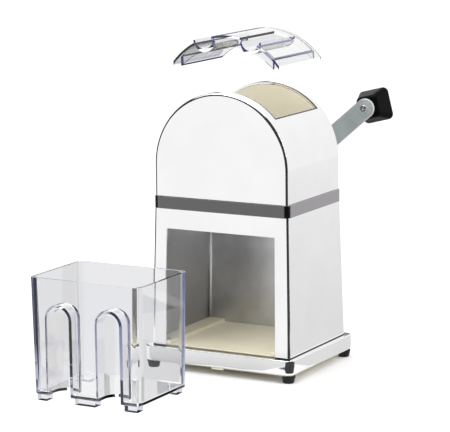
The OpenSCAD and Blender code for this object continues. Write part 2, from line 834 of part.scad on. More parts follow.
module drawer_pads() {
    front = drawer_y - drawer_foot_d / 2 + pad_inset;
    rear = drawer_y + drawer_foot_d / 2 - pad_inset;
    color(clear) {
        for (i = [0 : len(pad_front_x) - 1])
            translate([pad_front_x[i] - pad_front_w[i] / 2, front, drawer_low - pad_h])
                cube([pad_front_w[i], pad_d, pad_h]);
        for (x = pad_rear_x)
            translate([x - pad_rear_w / 2, rear - pad_d, drawer_low - pad_h])
                cube([pad_rear_w, pad_d, pad_h]);
    }
}

// Front-view strip under the lid's arch, of even height depth, out to half width half_w
module arch_strip(r, depth, half_w) {
    intersection() {
        difference() {
            circle(r, $fn = 128);
            translate([0, -depth]) circle(r, $fn = 128);
        }
        translate([-half_w, 0]) square([2 * half_w, r]);
    }
}

module lid() {
    mid_r = lid_in_r + lid_t / 2;
    skirt_in_w = skirt_half_w - skirt_t;
    color(clear) translate([0, 0, spring_z + lid_raise]) difference() {
        union() {
            along_y(lid_front, lid_rear) intersection() {
                difference() {
                    circle(lid_out_r, $fn = 128);
                    circle(lid_in_r, $fn = 128);
                }
                translate([-lid_half_w, 0]) square([2 * lid_half_w, lid_out_r]);
            }
            difference() {
                along_y(skirt_front, skirt_rear) arch_strip(mid_r, skirt_depth, skirt_half_w);
                box([-skirt_in_w, skirt_front + skirt_t, 0],
                    [skirt_in_w, skirt_rear - skirt_t, lid_out_r]);
            }
            for (sx = [-1, 1]) along_y(skirt_front, trough_rear + trough_wall) intersection() {
                translate([sx * trough_x, trough_z]) circle(trough_r + trough_wall);
                circle(mid_r, $fn = 128);
            }
        }
        for (sx = [-1, 1]) along_y(lid_front - cut, trough_rear)
            translate([sx * trough_x, trough_z]) circle(trough_r);
    }
}

foot(-1, -1);  // foot_front_left
foot(1, -1);  // foot_front_right
foot(-1, 1);  // foot_rear_left
foot(1, 1);  // foot_rear_right
foot_screws();
base_pan();
base_plinth();
base_screws();
base_tray();
back_panel();
lower_housing();
middle_band();
upper_housing();
housing_screws();
hopper();
crusher_chamber();
chamber_screws();
fixed_comb();
comb_screws();
front_bearing();
rear_bearing();
rotor_shaft();
rotor_blade(0);  // rotor_blade_1
rotor_blade(1);  // rotor_blade_2
rotor_blade(2);  // rotor_blade_3
rotor_blade(3);  // rotor_blade_4
rotor_blade(4);  // rotor_blade_5
rotor_blade(5);  // rotor_blade_6
rotor_spacers();
thrust_washers();
shaft_clip();
crank_hub();
crank_arm();
hub_washer();
hub_screw();
knob_disc();
knob_screw();
knob_spindle();
knob_retainer();
knob();
knob_cap();
drawer();
drawer_pads();
lid();
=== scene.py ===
"""Looks of a hand-cranked table-top ice crusher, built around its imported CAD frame.

Lengths are in metres. X runs to the machine's right, Y to its back and Z up.
"""

import json
import math

import bmesh
import bpy
from mathutils import Matrix, Vector

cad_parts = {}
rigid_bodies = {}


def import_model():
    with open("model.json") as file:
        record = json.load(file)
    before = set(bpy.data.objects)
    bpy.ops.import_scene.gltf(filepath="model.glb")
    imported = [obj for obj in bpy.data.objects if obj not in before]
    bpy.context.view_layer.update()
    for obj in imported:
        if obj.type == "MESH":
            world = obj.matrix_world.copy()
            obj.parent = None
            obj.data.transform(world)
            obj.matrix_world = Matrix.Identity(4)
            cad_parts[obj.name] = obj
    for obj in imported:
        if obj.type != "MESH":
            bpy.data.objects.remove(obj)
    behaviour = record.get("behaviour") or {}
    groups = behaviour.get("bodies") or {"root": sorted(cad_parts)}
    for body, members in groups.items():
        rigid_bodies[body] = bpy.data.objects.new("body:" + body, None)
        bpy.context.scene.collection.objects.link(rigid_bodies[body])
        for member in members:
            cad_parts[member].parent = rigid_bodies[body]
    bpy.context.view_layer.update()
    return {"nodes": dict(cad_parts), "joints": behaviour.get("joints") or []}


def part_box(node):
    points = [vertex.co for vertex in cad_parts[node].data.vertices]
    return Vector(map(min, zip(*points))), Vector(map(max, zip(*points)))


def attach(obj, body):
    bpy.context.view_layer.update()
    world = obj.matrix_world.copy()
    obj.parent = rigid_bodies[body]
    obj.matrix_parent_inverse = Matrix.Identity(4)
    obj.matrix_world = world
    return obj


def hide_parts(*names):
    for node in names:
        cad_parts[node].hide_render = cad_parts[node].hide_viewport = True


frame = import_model()

# ---------------------------------------------------------------- sizes

CUT = 0.01                      # how far a cutting tool runs past the face it cuts
WALL = 0.002                    # thickness of the housings' walls
EDGE_RADIUS = 0.0028            # round edges of the chrome housings
SOFT_EDGE = 0.0004              # small rounding of moulded and cut edges
MOUTH_EDGE = 0.0006             # rounding of the dome's cut edges
ARC_STEPS = 96                  # flats in the dome's half circle
LOWER_TOP_HALF = (0.071, 0.0551)  # half width and half depth of the lower housing at its top
OPENING_TOP = 0.135             # drawer opening: its top edge, and half widths at top and foot
OPENING_HALF_TOP = 0.0575
OPENING_HALF_FOOT = 0.059
MOUTH_HALF = 0.0509             # hopper mouth in the roof: half width, front and rear
MOUTH_FRONT = -0.0399
MOUTH_REAR = 0.0431
MOUTH_ROLL = 0.0024             # width of the rolled edge round the mouth
ROLL_DEPTH = 0.0003             # how far that rolled edge dips below the roof
GROOVE = 0.0008                 # shadow groove at the foot of the lower housing
SHAFT_HOLE = 0.006              # radius of the holes the rear bush passes through
BAND_PROUD = 0.0019             # how far the band stands out from the housings
NEAR = 1e-6                     # two heights closer than this are the same

JOINTS = {joint["name"]: joint for joint in frame["joints"]}
SHAFT = Vector(JOINTS["crank_spin"]["pos_m"])
KNOB = Vector(JOINTS["knob_spin"]["pos_m"])


# ---------------------------------------------------------------- camera, light and floor

CAMERA_PLACE = (1.0189, -1.8952, 0.52606)
CAMERA_YAW = 0.5035             # radians to the left of straight ahead
CAMERA_PITCH = 0.1765           # radians below level
CAMERA_ROLL = -0.0103
CAMERA_LENS = 183.23
FLOOR_SIZE = 30.0
FLAG_LIFT = 0.0008              # height of a board that lies on the floor


def add_camera():
    """Camera at the photograph's viewing angle."""
    forward = Vector((-math.sin(CAMERA_YAW) * math.cos(CAMERA_PITCH),
                      math.cos(CAMERA_YAW) * math.cos(CAMERA_PITCH),
                      -math.sin(CAMERA_PITCH)))
    level = Vector((math.cos(CAMERA_YAW), math.sin(CAMERA_YAW), 0))
    upright = level.cross(forward)
    right = level * math.cos(CAMERA_ROLL) + upright * math.sin(CAMERA_ROLL)
    up = upright * math.cos(CAMERA_ROLL) - level * math.sin(CAMERA_ROLL)
    data = bpy.data.cameras.new("camera")
    data.lens = CAMERA_LENS
    data.sensor_width = 36
    data.clip_end = 100
    camera = bpy.data.objects.new("camera", data)
    rotation = Matrix((right, up, -forward)).transposed()
    camera.matrix_world = Matrix.Translation(CAMERA_PLACE) @ rotation.to_4x4()
    bpy.context.scene.collection.objects.link(camera)
    bpy.context.scene.camera = camera


def add_area_light(name, place, target, size, power):
    """Soft square light at place, turned towards target."""
    data = bpy.data.lights.new(name, "AREA")
    data.shape = "SQUARE"
    data.size = size
    data.energy = power
    light = bpy.data.objects.new(name, data)
    light.location = place
    light.rotation_euler = (Vector(target) - Vector(place)).to_track_quat("-Z", "Y").to_euler()
    bpy.context.scene.collection.objects.link(light)


def add_flag(name, azimuths, radii, heights, material, in_gloss=True, lift=FLAG_LIFT):
    """Studio board beside the set that shows only in gloss, or only through clear plastic.

    It covers the azimuths (degrees from the front towards the right) between the two radii of
    the floor, and stands up at the outer one between the two heights. With an inner radius of 0
    nothing lies on the floor.
    """
    bm = bmesh.new()
    steps = 24
    rows = []
    for i in range(steps + 1):
        angle = math.radians(azimuths[0] + (azimuths[1] - azimuths[0]) * i / steps)
        outward = Vector((math.sin(angle), -math.cos(angle), 0))
        points = [outward * radius + Vector((0, 0, lift)) for radius in radii if radii[0]]
        points += [outward * radii[1] + Vector((0, 0, height)) for height in heights]
        rows.append([bm.verts.new(point) for point in points])
    for here, there in zip(rows, rows[1:]):
        for k in range(len(here) - 1):
            bm.faces.new((here[k], there[k], there[k + 1], here[k + 1]))
    flag = make(name, bm, material)
    flag.visible_camera = False
    flag.visible_diffuse = False
    flag.visible_shadow = False
    flag.visible_volume_scatter = False
    flag.visible_glossy = in_gloss
    flag.visible_transmission = not in_gloss


def add_world(brightness):
    """Even white surroundings."""
    world = bpy.data.worlds.new("studio")
    world.use_nodes = True
    background = world.node_tree.nodes["Background"]
    background.inputs["Color"].default_value = (1, 1, 1, 1)
    background.inputs["Strength"].default_value = brightness
    bpy.context.scene.world = world


# ---------------------------------------------------------------- materials

def node_material(name, slot_values):
    """Principled material with constants set on the shader's own sockets."""
    material = bpy.data.materials.new(name)
    material.use_nodes = True
    shader = material.node_tree.nodes["Principled BSDF"]
    for socket, value in slot_values.items():
        shader.inputs[socket].default_value = value
    return material


def noise(material, scale, detail=3.0, stretch=(1, 1, 1)):
    """Noise in the object's own coordinates, in cycles per metre, and its output socket."""
    nodes = material.node_tree.nodes
    links = material.node_tree.links
    coordinates = nodes.new("ShaderNodeTexCoord")
    mapping = nodes.new("ShaderNodeMapping")
    mapping.inputs["Scale"].default_value = stretch
    texture = nodes.new("ShaderNodeTexNoise")
    texture.inputs["Scale"].default_value = scale
    texture.inputs["Detail"].default_value = detail
    links.new(coordinates.outputs["Object"], mapping.inputs["Vector"])
    links.new(mapping.outputs["Vector"], texture.inputs["Vector"])
    return texture.outputs["Fac"]


def vary_roughness(material, source, low, high):
    """Roughness that wanders between low and high with source."""
    nodes = material.node_tree.nodes
    links = material.node_tree.links
    spread = nodes.new("ShaderNodeMapRange")
    spread.inputs["From Min"].default_value = 0.3
    spread.inputs["From Max"].default_value = 0.7
    spread.inputs["To Min"].default_value = low
    spread.inputs["To Max"].default_value = high
    links.new(source, spread.inputs["Value"])
    links.new(spread.outputs["Result"], nodes["Principled BSDF"].inputs["Roughness"])


def vary_colour(material, source, first, second):
    """Colour that wanders between two colours with source."""
    nodes = material.node_tree.nodes
    links = material.node_tree.links
    ramp = nodes.new("ShaderNodeValToRGB")
    ramp.color_ramp.elements[0].position = 0.35
    ramp.color_ramp.elements[0].color = (*first, 1)
    ramp.color_ramp.elements[1].position = 0.65
    ramp.color_ramp.elements[1].color = (*second, 1)
    links.new(source, ramp.inputs["Fac"])
    links.new(ramp.outputs["Color"], nodes["Principled BSDF"].inputs["Base Color"])


def facing(material, low, high):
    """Source for vary_colour that paints sheen and shade by the angle to the eye: its first colour up to
    low, its second from high.

    Both are on a scale from 0, facing the eye, to 1, edge on.
    """
    nodes = material.node_tree.nodes
    links = material.node_tree.links
    weight = nodes.new("ShaderNodeLayerWeight")
    weight.inputs["Blend"].default_value = 0.5
    spread = nodes.new("ShaderNodeMapRange")
    spread.inputs["From Min"].default_value = low
    spread.inputs["From Max"].default_value = high
    spread.inputs["To Min"].default_value = 0.35
    spread.inputs["To Max"].default_value = 0.65
    links.new(weight.outputs["Facing"], spread.inputs["Value"])
    return spread.outputs["Result"]


def bump(material, source, height, strength=0.3):
    """Fine relief from source."""
    nodes = material.node_tree.nodes
    links = material.node_tree.links
    relief = nodes.new("ShaderNodeBump")
    relief.inputs["Strength"].default_value = strength
    relief.inputs["Distance"].default_value = height
    links.new(source, relief.inputs["Height"])
    links.new(relief.outputs["Normal"], nodes["Principled BSDF"].inputs["Normal"])


def chrome_plating():
    """Bright plating with faint smudges."""
    material = node_material("chrome_plating", {"Metallic": 1.0, "Specular IOR Level": 0.6})
    smudges = noise(material, 22)
    vary_colour(material, smudges, (0.90, 0.90, 0.91), (0.93, 0.93, 0.935))
    vary_roughness(material, smudges, 0.045, 0.085)
    return material


def inner_metal():
    """Duller metal inside the housings, brushed upwards."""
    material = node_material("inner_metal", {"Metallic": 0.75})
    brushed = noise(material, 900, 2, (1, 1, 0.03))
    vary_colour(material, noise(material, 14), (0.38, 0.38, 0.39), (0.45, 0.45, 0.46))
    vary_roughness(material, brushed, 0.38, 0.46)
    return material


def grey_board(name, near, far, start, end):
    """Board that glows softly, from near at start metres from the machine to far at end."""
    material = bpy.data.materials.new(name)
    material.use_nodes = True
    nodes = material.node_tree.nodes
    links = material.node_tree.links
    nodes.remove(nodes["Principled BSDF"])
    glow = nodes.new("ShaderNodeEmission")
    coordinates = nodes.new("ShaderNodeTexCoord")
    length = nodes.new("ShaderNodeVectorMath")
    length.operation = "LENGTH"
    spread = nodes.new("ShaderNodeMapRange")
    spread.inputs["From Min"].default_value = start
    spread.inputs["From Max"].default_value = end
    spread.inputs["To Min"].default_value = near
    spread.inputs["To Max"].default_value = far
    links.new(coordinates.outputs["Object"], length.inputs[0])
    links.new(length.outputs["Value"], spread.inputs["Value"])
    links.new(spread.outputs["Result"], glow.inputs["Strength"])
    links.new(glow.outputs["Emission"], nodes["Material Output"].inputs["Surface"])
    return material


def satin_plastic(name, first, second, low, high):
    """Moulded plastic with a fine grain, its colour between first and second."""
    material = node_material(name, {"Specular IOR Level": 0.5})
    vary_colour(material, noise(material, 30), first, second)
    grain = noise(material, 900, 2)
    vary_roughness(material, grain, low, high)
    bump(material, grain, 0.00008, 0.15)
    return material


def gloss_black_painted_highlight():
    """Black plastic with a painted highlight: its colour greys only where it turns away."""
    material = node_material("gloss_black_painted_highlight", {"IOR": 1.1})
    vary_colour(material, facing(material, 0.88, 1.0), (0.003, 0.0028, 0.003), (0.12, 0.115, 0.12))
    vary_roughness(material, noise(material, 60), 0.2, 0.3)
    return material


def arm_finish():
    """Grey satin plating, brushed along the arm."""
    material = node_material("arm_finish", {"Metallic": 0.45})
    brushed = noise(material, 300, 3, (0.08, 1, 1))
    vary_colour(material, noise(material, 40), (0.42, 0.465, 0.465), (0.48, 0.525, 0.525))
    vary_roughness(material, brushed, 0.42, 0.55)
    return material


def band_painted_sheen():
    """Dark metallic plastic with a painted sheen: its colour brightens the more it turns away."""
    material = node_material("band_painted_sheen", {"Metallic": 1.0})
    vary_colour(material, facing(material, 0.14, 0.54), (0.135, 0.135, 0.137), (0.36, 0.35, 0.36))
    vary_roughness(material, noise(material, 300), 0.16, 0.24)
    return material


def foot_rubber():
    """Matt black rubber."""
    material = node_material("foot_rubber", {"Specular IOR Level": 0.2})
    grain = noise(material, 700, 4)
    vary_colour(material, grain, (0.008, 0.008, 0.008), (0.018, 0.018, 0.018))
    vary_roughness(material, grain, 0.5, 0.7)
    bump(material, grain, 0.0002, 0.3)
    return material


def metal(name, first, second, low, high, stretch):
    """Metal with a grain that runs along the short side of stretch."""
    material = node_material(name, {"Metallic": 1.0})
    grain = noise(material, 500, 4, stretch)
    vary_colour(material, noise(material, 40), first, second)
    vary_roughness(material, grain, low, high)
    bump(material, grain, 0.0001, 0.2)
    return material


def clear_acrylic():
    """Clear plastic with painted shade that darkens it a little where it is seen edge on; a tint darkens it
    through its length.
    """
    material = node_material("clear_acrylic", {"Transmission Weight": 1.0, "IOR": 1.52})
    nodes = material.node_tree.nodes
    links = material.node_tree.links
    vary_colour(material, facing(material, 0.68, 1.0), (0.985, 0.985, 0.988), (0.3, 0.3, 0.34))
    vary_roughness(material, noise(material, 35), 0.0, 0.03)
    tint = nodes.new("ShaderNodeVolumeAbsorption")
    tint.inputs["Color"].default_value = (0.60, 0.64, 0.80, 1)
    tint.inputs["Density"].default_value = 5.5
    links.new(tint.outputs["Volume"], nodes["Material Output"].inputs["Volume"])
    return material


# ---------------------------------------------------------------- outlines

def arc(radius, start, end, steps, centre=(0, 0)):
    """Points on an arc, angles in degrees."""
    angles = [math.radians(start + (end - start) * i / steps) for i in range(steps + 1)]
    return [(centre[0] + radius * math.cos(a), centre[1] + radius * math.sin(a)) for a in angles]


def arch_outline(radius, foot, spring):
    """Half disc of the roof on the straight sides below it."""
    return [(radius, foot)] + arc(radius, 0, 180, ARC_STEPS, (0, spring)) + [(-radius, foot)]


def round_rect(half_w, half_d, radius, steps=8):
    """Rectangle with round corners, anticlockwise from the right front."""
    outline = []
    for sx, sy, start in ((1, -1, -90), (1, 1, 0), (-1, 1, 90), (-1, -1, 180)):
        centre = (sx * (half_w - radius), sy * (half_d - radius))
        outline += arc(radius, start, start + 90, steps, centre)
    return outline


# ---------------------------------------------------------------- solids

def prism(outline, axis, low, high):
    """Closed solid: an outline of two coordinates, extruded along the third axis."""
    place = {"x": lambda a, b, t: (t, a, b), "y": lambda a, b, t: (a, t, b),
             "z": lambda a, b, t: (a, b, t)}[axis]
    bm = bmesh.new()
    rings = [[bm.verts.new(place(a, b, t)) for a, b in outline] for t in (low, high)]
    return close_rings(bm, rings)


def loft(rings):
    """Closed solid through rings of points, all of one length."""
    bm = bmesh.new()
    return close_rings(bm, [[bm.verts.new(point) for point in ring] for ring in rings])


def close_rings(bm, rings):
    """Skins rings of vertices and caps both ends."""
    for lower, upper in zip(rings, rings[1:]):
        for i in range(len(lower)):
            j = (i + 1) % len(lower)
            bm.faces.new((lower[i], lower[j], upper[j], upper[i]))
    bm.faces.new(list(reversed(rings[0])))
    bm.faces.new(rings[-1])
    bmesh.ops.recalc_face_normals(bm, faces=bm.faces)
    return bm


def revolve_y(profile, centre, steps=64):
    """Closed solid from (radius, y) points, turned about a line along Y through centre."""
    return loft([[(centre.x + radius * math.cos(math.tau * i / steps), y,
                   centre.z + radius * math.sin(math.tau * i / steps)) for i in range(steps)]
                 for radius, y in profile])


def box_solid(low, high):
    """Closed box between two corners."""
    return prism([(low[0], low[1]), (high[0], low[1]), (high[0], high[1]), (low[0], high[1])],
                 "z", low[2], high[2])


def round_edges(bm, radius, chosen, steps=6):
    """Rounds the edges for which chosen(edge) is true."""
    edges = [edge for edge in bm.edges if chosen(edge)]
    bmesh.ops.bevel(bm, geom=edges, offset=radius, segments=steps, profile=0.5, affect="EDGES")
    return bm


def make(name, bm, material):
    """Blender object from a bmesh."""
    mesh = bpy.data.meshes.new(name)
    bm.to_mesh(mesh)
    bm.free()
    if material:
        mesh.materials.append(material)
    obj = bpy.data.objects.new(name, mesh)
    bpy.context.scene.collection.objects.link(obj)
    return obj


def combine(obj, operation, bm, material):
    """Joins, cuts or intersects obj with the solid in bm, whose faces keep their material."""
    other = make("tool", bm, material)
    modifier = obj.modifiers.new("combine", "BOOLEAN")
    modifier.operation = operation
    modifier.solver = "EXACT"
    modifier.material_mode = "TRANSFER"
    modifier.object = other
    bpy.context.view_layer.update()
    evaluated = obj.evaluated_get(bpy.context.evaluated_depsgraph_get())
    mesh = bpy.data.meshes.new_from_object(evaluated)
    obj.modifiers.clear()
    obj.data = mesh
    bpy.data.objects.remove(other)


def cut(obj, bm, material):
    """Takes the solid in bm out of obj; the new faces get material."""
    combine(obj, "DIFFERENCE", bm, material)


def join(obj, bm, material):
    """Adds the solid in bm to obj."""
    combine(obj, "UNION", bm, material)


def finish_piece(obj, body, width=SOFT_EDGE, steps=2):
    """Rounds the edges still sharp, shades the piece smoothly and hangs it on its body."""
    for polygon in obj.data.polygons:
        polygon.use_smooth = True
    if width:
        bevel = obj.modifiers.new("soft_edges", "BEVEL")
        bevel.width = width
        bevel.segments = steps
        bevel.limit_method = "ANGLE"
        bevel.angle_limit = math.radians(38)
    normals = obj.modifiers.new("even_normals", "WEIGHTED_NORMAL")
    normals.keep_sharp = True
    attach(obj, body)
    return obj


# ---------------------------------------------------------------- housings

def taken(tool):
    """Solid of a helper object, which is removed."""
    bm = bmesh.new()
    bm.from_mesh(tool.data)
    bpy.data.objects.remove(tool)
    return bm


def rolled_edge_tool(radius, low_y, high_y, spring, depth):
    """Shallow ring round the mouth, for the rolled edge's dark line, a painted dark reflection."""
    top = spring + radius + CUT
    grow = MOUTH_ROLL
    side = MOUTH_ROLL / 2
    ring = make("ring", box_solid((-MOUTH_HALF - side, MOUTH_FRONT - grow, spring),
                                  (MOUTH_HALF + side, MOUTH_REAR + grow, top)), None)
    cut(ring, prism(arch_outline(radius - depth, 0, spring), "y", low_y - CUT, high_y + CUT), None)
    return taken(ring)


def build_dome(chrome, lining, painted_dark_reflection):
    """Upper housing: an arched shell, open below, with the hopper mouth in its roof."""
    low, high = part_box("upper_housing")
    radius = high.x
    spring = high.z - radius
    bm = prism(arch_outline(radius, low.z, spring), "y", low.y, high.y)

    def on_rim(edge):
        first, second = (vert.co for vert in edge.verts)
        level = abs(first.y - second.y) < NEAR
        foot = max(first.z, second.z) < low.z + NEAR
        return level and not foot

    round_edges(bm, EDGE_RADIUS, on_rim)
    dome = make("dome_shell", bm, chrome)
    inside = arch_outline(radius - WALL, low.z - CUT, spring)
    cut(dome, prism(inside, "y", low.y + WALL, high.y - WALL), lining)
    # The ring gets near-black metal: a painted dark reflection on the chrome's rolled edge.
    cut(dome, rolled_edge_tool(radius, low.y, high.y, spring, ROLL_DEPTH), painted_dark_reflection)
    cut(dome, box_solid((-MOUTH_HALF, MOUTH_FRONT, spring), (MOUTH_HALF, MOUTH_REAR, high.z + CUT)),
        chrome)
    hole = [(SHAFT_HOLE, high.y - 2 * WALL), (SHAFT_HOLE, high.y + CUT)]
    cut(dome, revolve_y(hole, SHAFT), chrome)
    finish_piece(dome, "machine", MOUTH_EDGE, 3)
    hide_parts("upper_housing")


def leaning_rings(foot_half, top_half, foot_z, top_z, inset, radius, extend=0.0):
    """Two round-cornered rings of the lower housing, drawn in by inset and carried on by extend."""
    rings = []
    for z in (foot_z - extend, top_z + extend):
        share = (z - foot_z) / (top_z - foot_z)
        half = [a + (b - a) * share - inset for a, b in zip(foot_half, top_half)]
        rings.append([(x, y, z) for x, y in round_rect(half[0], half[1], radius)])
    return rings


def build_lower_housing(chrome, lining, groove_shade):
    """Lower housing: leaning walls, the drawer opening and a shadow groove at the foot."""
    low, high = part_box("lower_housing")
    foot_half = (high.x, high.y)
    top_half = LOWER_TOP_HALF
    shell = make("lower_shell", loft(leaning_rings(
        foot_half, top_half, low.z, high.z, 0, EDGE_RADIUS)), chrome)
    cut(shell, loft(leaning_rings(
        foot_half, top_half, low.z, high.z, WALL, EDGE_RADIUS, CUT)), lining)
    lean = (OPENING_HALF_FOOT - OPENING_HALF_TOP) / (OPENING_TOP - low.z)
    foot = OPENING_HALF_FOOT + lean * CUT
    outline = [(-foot, low.z - CUT), (foot, low.z - CUT),
               (OPENING_HALF_TOP, OPENING_TOP), (-OPENING_HALF_TOP, OPENING_TOP)]
    cut(shell, prism(outline, "y", low.y - CUT, low.y + CUT), chrome)
    # The groove is lined with near-black plastic: painted shade.
    groove = make("groove", box_solid((2 * low.x, 2 * low.y, low.z - CUT),
                                      (2 * high.x, 2 * high.y, low.z + GROOVE)), groove_shade)
    cut(groove, box_solid((low.x + GROOVE, low.y + GROOVE, low.z - 2 * CUT),
                          (high.x - GROOVE, high.y - GROOVE, low.z + CUT)), groove_shade)
    cut(shell, taken(groove), groove_shade)
    finish_piece(shell, "machine")
    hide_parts("lower_housing")


def rounded_slab(low, high, corner, top_round, foot_round, steps=6):
    """Round-cornered slab with rounded top and foot edges, as a closed solid."""
    centre = ((low.x + high.x) / 2, (low.y + high.y) / 2)
    half = ((high.x - low.x) / 2, (high.y - low.y) / 2)
    profile = [(foot_round - r, low.z + foot_round + z)
               for r, z in arc(foot_round, -90, 0, steps)]
    profile += [(top_round - r, high.z - top_round + z) for r, z in arc(top_round, 0, 90, steps)]
    return loft([[(centre[0] + x, centre[1] + y, z)
                  for x, y in round_rect(half[0] - inset, half[1] - inset, corner - inset)]
                 for inset, z in profile])


def build_plinth(chrome, lining):
    """Plinth: a round-cornered tray turned upside down."""
    low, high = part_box("base_plinth")
    corner, inner_corner, top_round, foot_round = 0.007, 0.003, 0.0009, 0.0034
    plinth = make("plinth_shell", rounded_slab(low, high, corner, top_round, foot_round), chrome)
    inside = round_rect(high.x - 2 * WALL, high.y - 2 * WALL, inner_corner)
    cut(plinth, prism(inside, "z", low.z - CUT, high.z - WALL), lining)
    finish_piece(plinth, "machine", 0)
    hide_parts("base_plinth")


def build_band(plastic):
    """Band between the housings, with the deck that carries the crusher chamber."""
    low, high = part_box("middle_band")
    chamber_low, chamber_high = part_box("crusher_chamber")
    corner, corner_steps = 0.007, 3
    deck_low, deck_top = 0.156, 0.159
    throat_half, throat_front, throat_rear = 0.0343, 0.0048, 0.0023
    wall = WALL + BAND_PROUD
    inner = (high.x - wall, high.y - wall)
    band = make("band_ring",
                rounded_slab(low, high, corner, SOFT_EDGE, SOFT_EDGE, corner_steps), plastic)
    cut(band, box_solid((-inner[0], -inner[1], deck_top), (*inner, high.z + CUT)), plastic)
    cut(band, box_solid((-inner[0], -inner[1], low.z - CUT), (*inner, deck_low)), plastic)
    cut(band, box_solid((-throat_half, chamber_low.y - throat_front, low.z - CUT),
                        (throat_half, chamber_high.y + throat_rear, high.z + CUT)), plastic)
    hole = [(SHAFT_HOLE, high.y - 2 * wall), (SHAFT_HOLE, high.y + CUT)]
    cut(band, revolve_y(hole, SHAFT), plastic)
    finish_piece(band, "machine", 0)
    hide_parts("middle_band")


def build_feet(rubber):
    """Four tapered feet, each with a well for its screw's head."""
    well_r, well_depth, bore_r = 0.0034, 0.003, 0.0016
    taper, rounding = 0.00125, 0.0008
    for side in ("front_left", "front_right", "rear_left", "rear_right"):
        low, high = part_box(f"foot_{side}")
        centre = (low + high) / 2
        top = high.x - centre.x
        foot_r = top - taper
        profile = [(well_r, low.z + well_depth), (well_r, low.z)]
        profile += [(foot_r - rounding + r, low.z + rounding + z)
                    for r, z in arc(rounding, -90, 0, 5)]
        profile += [(top - rounding + r, high.z - rounding + z)
                    for r, z in arc(rounding, 0, 90, 5)]
        profile += [(bore_r, high.z), (bore_r, low.z + well_depth)]
        foot = make(f"rubber_foot_{side}", ring_solid(profile, centre), rubber)
        finish_piece(foot, "machine", 0)
        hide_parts(f"foot_{side}")


def ring_solid(profile, centre, steps=48):
    """Solid of revolution about Z with a hole: a closed loop of (radius, z) points."""
    bm = bmesh.new()
    columns = []
    for i in range(steps):
        angle = math.tau * i / steps
        columns.append([bm.verts.new((centre.x + r * math.cos(angle),
                                      centre.y + r * math.sin(angle), z)) for r, z in profile])
    for i in range(steps):
        here, there = columns[i], columns[(i + 1) % steps]
        for k in range(len(profile)):
            m = (k + 1) % len(profile)
            bm.faces.new((here[k], there[k], there[m], here[m]))
    bmesh.ops.recalc_face_normals(bm, faces=bm.faces)
    return bm


# ---------------------------------------------------------------- inside the compartment

def build_tray(plastic):
    """Compartment floor between two raised ledges, narrower at the front."""
    low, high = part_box("base_tray")
    floor, ledge_x, neck, shoulder = 0.024, 0.0535, 0.0587, -0.046
    groove = 0.0008
    outline = [(low.x, low.z), (high.x, low.z), (high.x, high.z), (ledge_x, high.z),
               (ledge_x, floor), (-ledge_x, floor), (-ledge_x, high.z), (low.x, high.z)]
    tray = make("tray", prism(outline, "y", low.y, high.y), plastic)
    for side in (-1, 1):
        near, far = sorted((side * neck, side * (high.x + CUT)))
        cut(tray, box_solid((near, low.y - CUT, low.z - CUT), (far, shoulder, high.z + CUT)), plastic)
    cut(tray, box_solid((low.x - CUT, low.y - CUT, low.z - CUT),
                        (high.x + CUT, low.y + 2 * groove, low.z + groove)), plastic)
    finish_piece(tray, "machine", 0.0005, 3)
    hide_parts("base_tray")


def build_back_panel(panel, bend):
    """Sheet behind the compartment, folded forward at both sides round a bend with a painted highlight."""
    low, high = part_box("back_panel")
    thick, fold, reach = high.y - low.y, 0.0032, 0.0033
    housing_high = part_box("lower_housing")[1]
    lean = (housing_high.x - LOWER_TOP_HALF[0]) / housing_high.z
    rings = []
    for z in (low.z, high.z):
        half = high.x - lean * (z - low.z)
        right = [(half, high.y - reach)] + arc(fold, 0, 90, 6, (half - fold, high.y - fold))
        inner = arc(fold - thick, 90, 0, 6, (half - fold, high.y - fold))
        inner += [(half - thick, high.y - reach)]
        outline = right + [(-x, y) for x, y in reversed(right)]
        outline += [(-x, y) for x, y in reversed(inner)] + inner
        rings.append([(x, y, z) for x, y in outline])
    sheet = make("rear_panel", loft(rings), panel)
    sheet.data.materials.append(bend)
    for polygon in sheet.data.polygons:
        bent = half_way_folded(polygon, high.y)
        polygon.material_index = 1 if bent else 0
    finish_piece(sheet, "machine", 0)
    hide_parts("back_panel")


def half_way_folded(polygon, rear):
    """True for the faces of a fold, whose normals lie between X and Y."""
    turned = 0.15
    normal = polygon.normal
    return abs(normal.x) > turned and abs(normal.y) > turned and polygon.center.y < rear


def build_hopper(plastic):
    """Hopper liner: a wide mouth under the roof that narrows to the crusher's throat."""
    low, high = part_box("hopper")
    roof_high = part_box("upper_housing")[1]
    spring = roof_high.z - roof_high.x
    wall, lip, play = 0.002, 0.0011, 0.0003
    bend, throat = 0.222, 0.031
    roof = roof_high.x - WALL - play

    def outline(half, throat_half, top, drop):
        angle = math.degrees(math.asin(half / top))
        points = [(-throat_half, low.z - drop), (throat_half, low.z - drop), (throat_half, low.z),
                  (half, bend)]
        points += arc(top, 90 - angle, 90 + angle, 40, (0, spring))
        return points + [(-half, bend), (-throat_half, low.z)]

    solid = outline(high.x, throat + wall, roof, 0)
    hopper = make("hopper_liner", prism(solid[0:2] + solid[3:-1], "y", low.y, high.y), plastic)
    inner_half = high.x - wall - lip
    cut(hopper, prism(outline(inner_half, throat, roof + CUT, CUT), "y",
                      low.y + wall + lip, high.y - wall - lip), plastic)
    finish_piece(hopper, "machine", 0.0006, 3)
    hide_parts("hopper")


# ---------------------------------------------------------------- crank and knob

def crank_frame():
    """Unit vectors along and across the arm, in the XZ plane."""
    along = (KNOB - SHAFT).normalized()
    return along, Vector((-along.z, 0, along.x))


def build_arm(steel):
    """Flat crank arm with round ends."""
    low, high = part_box("crank_arm")
    along, across = crank_frame()
    reach = (KNOB - SHAFT).length
    half = high.x - KNOB.x
    flat = arc(half, -90, 90, 32, (reach, 0)) + arc(half, 90, 270, 32)
    outline = [(SHAFT.x + a * along.x + b * across.x, SHAFT.z + a * along.z + b * across.z)
               for a, b in flat]
    arm = make("arm_plate", prism(outline, "y", low.y, high.y), steel)
    finish_piece(arm, "crank", 0.0013, 5)
    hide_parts("crank_arm")


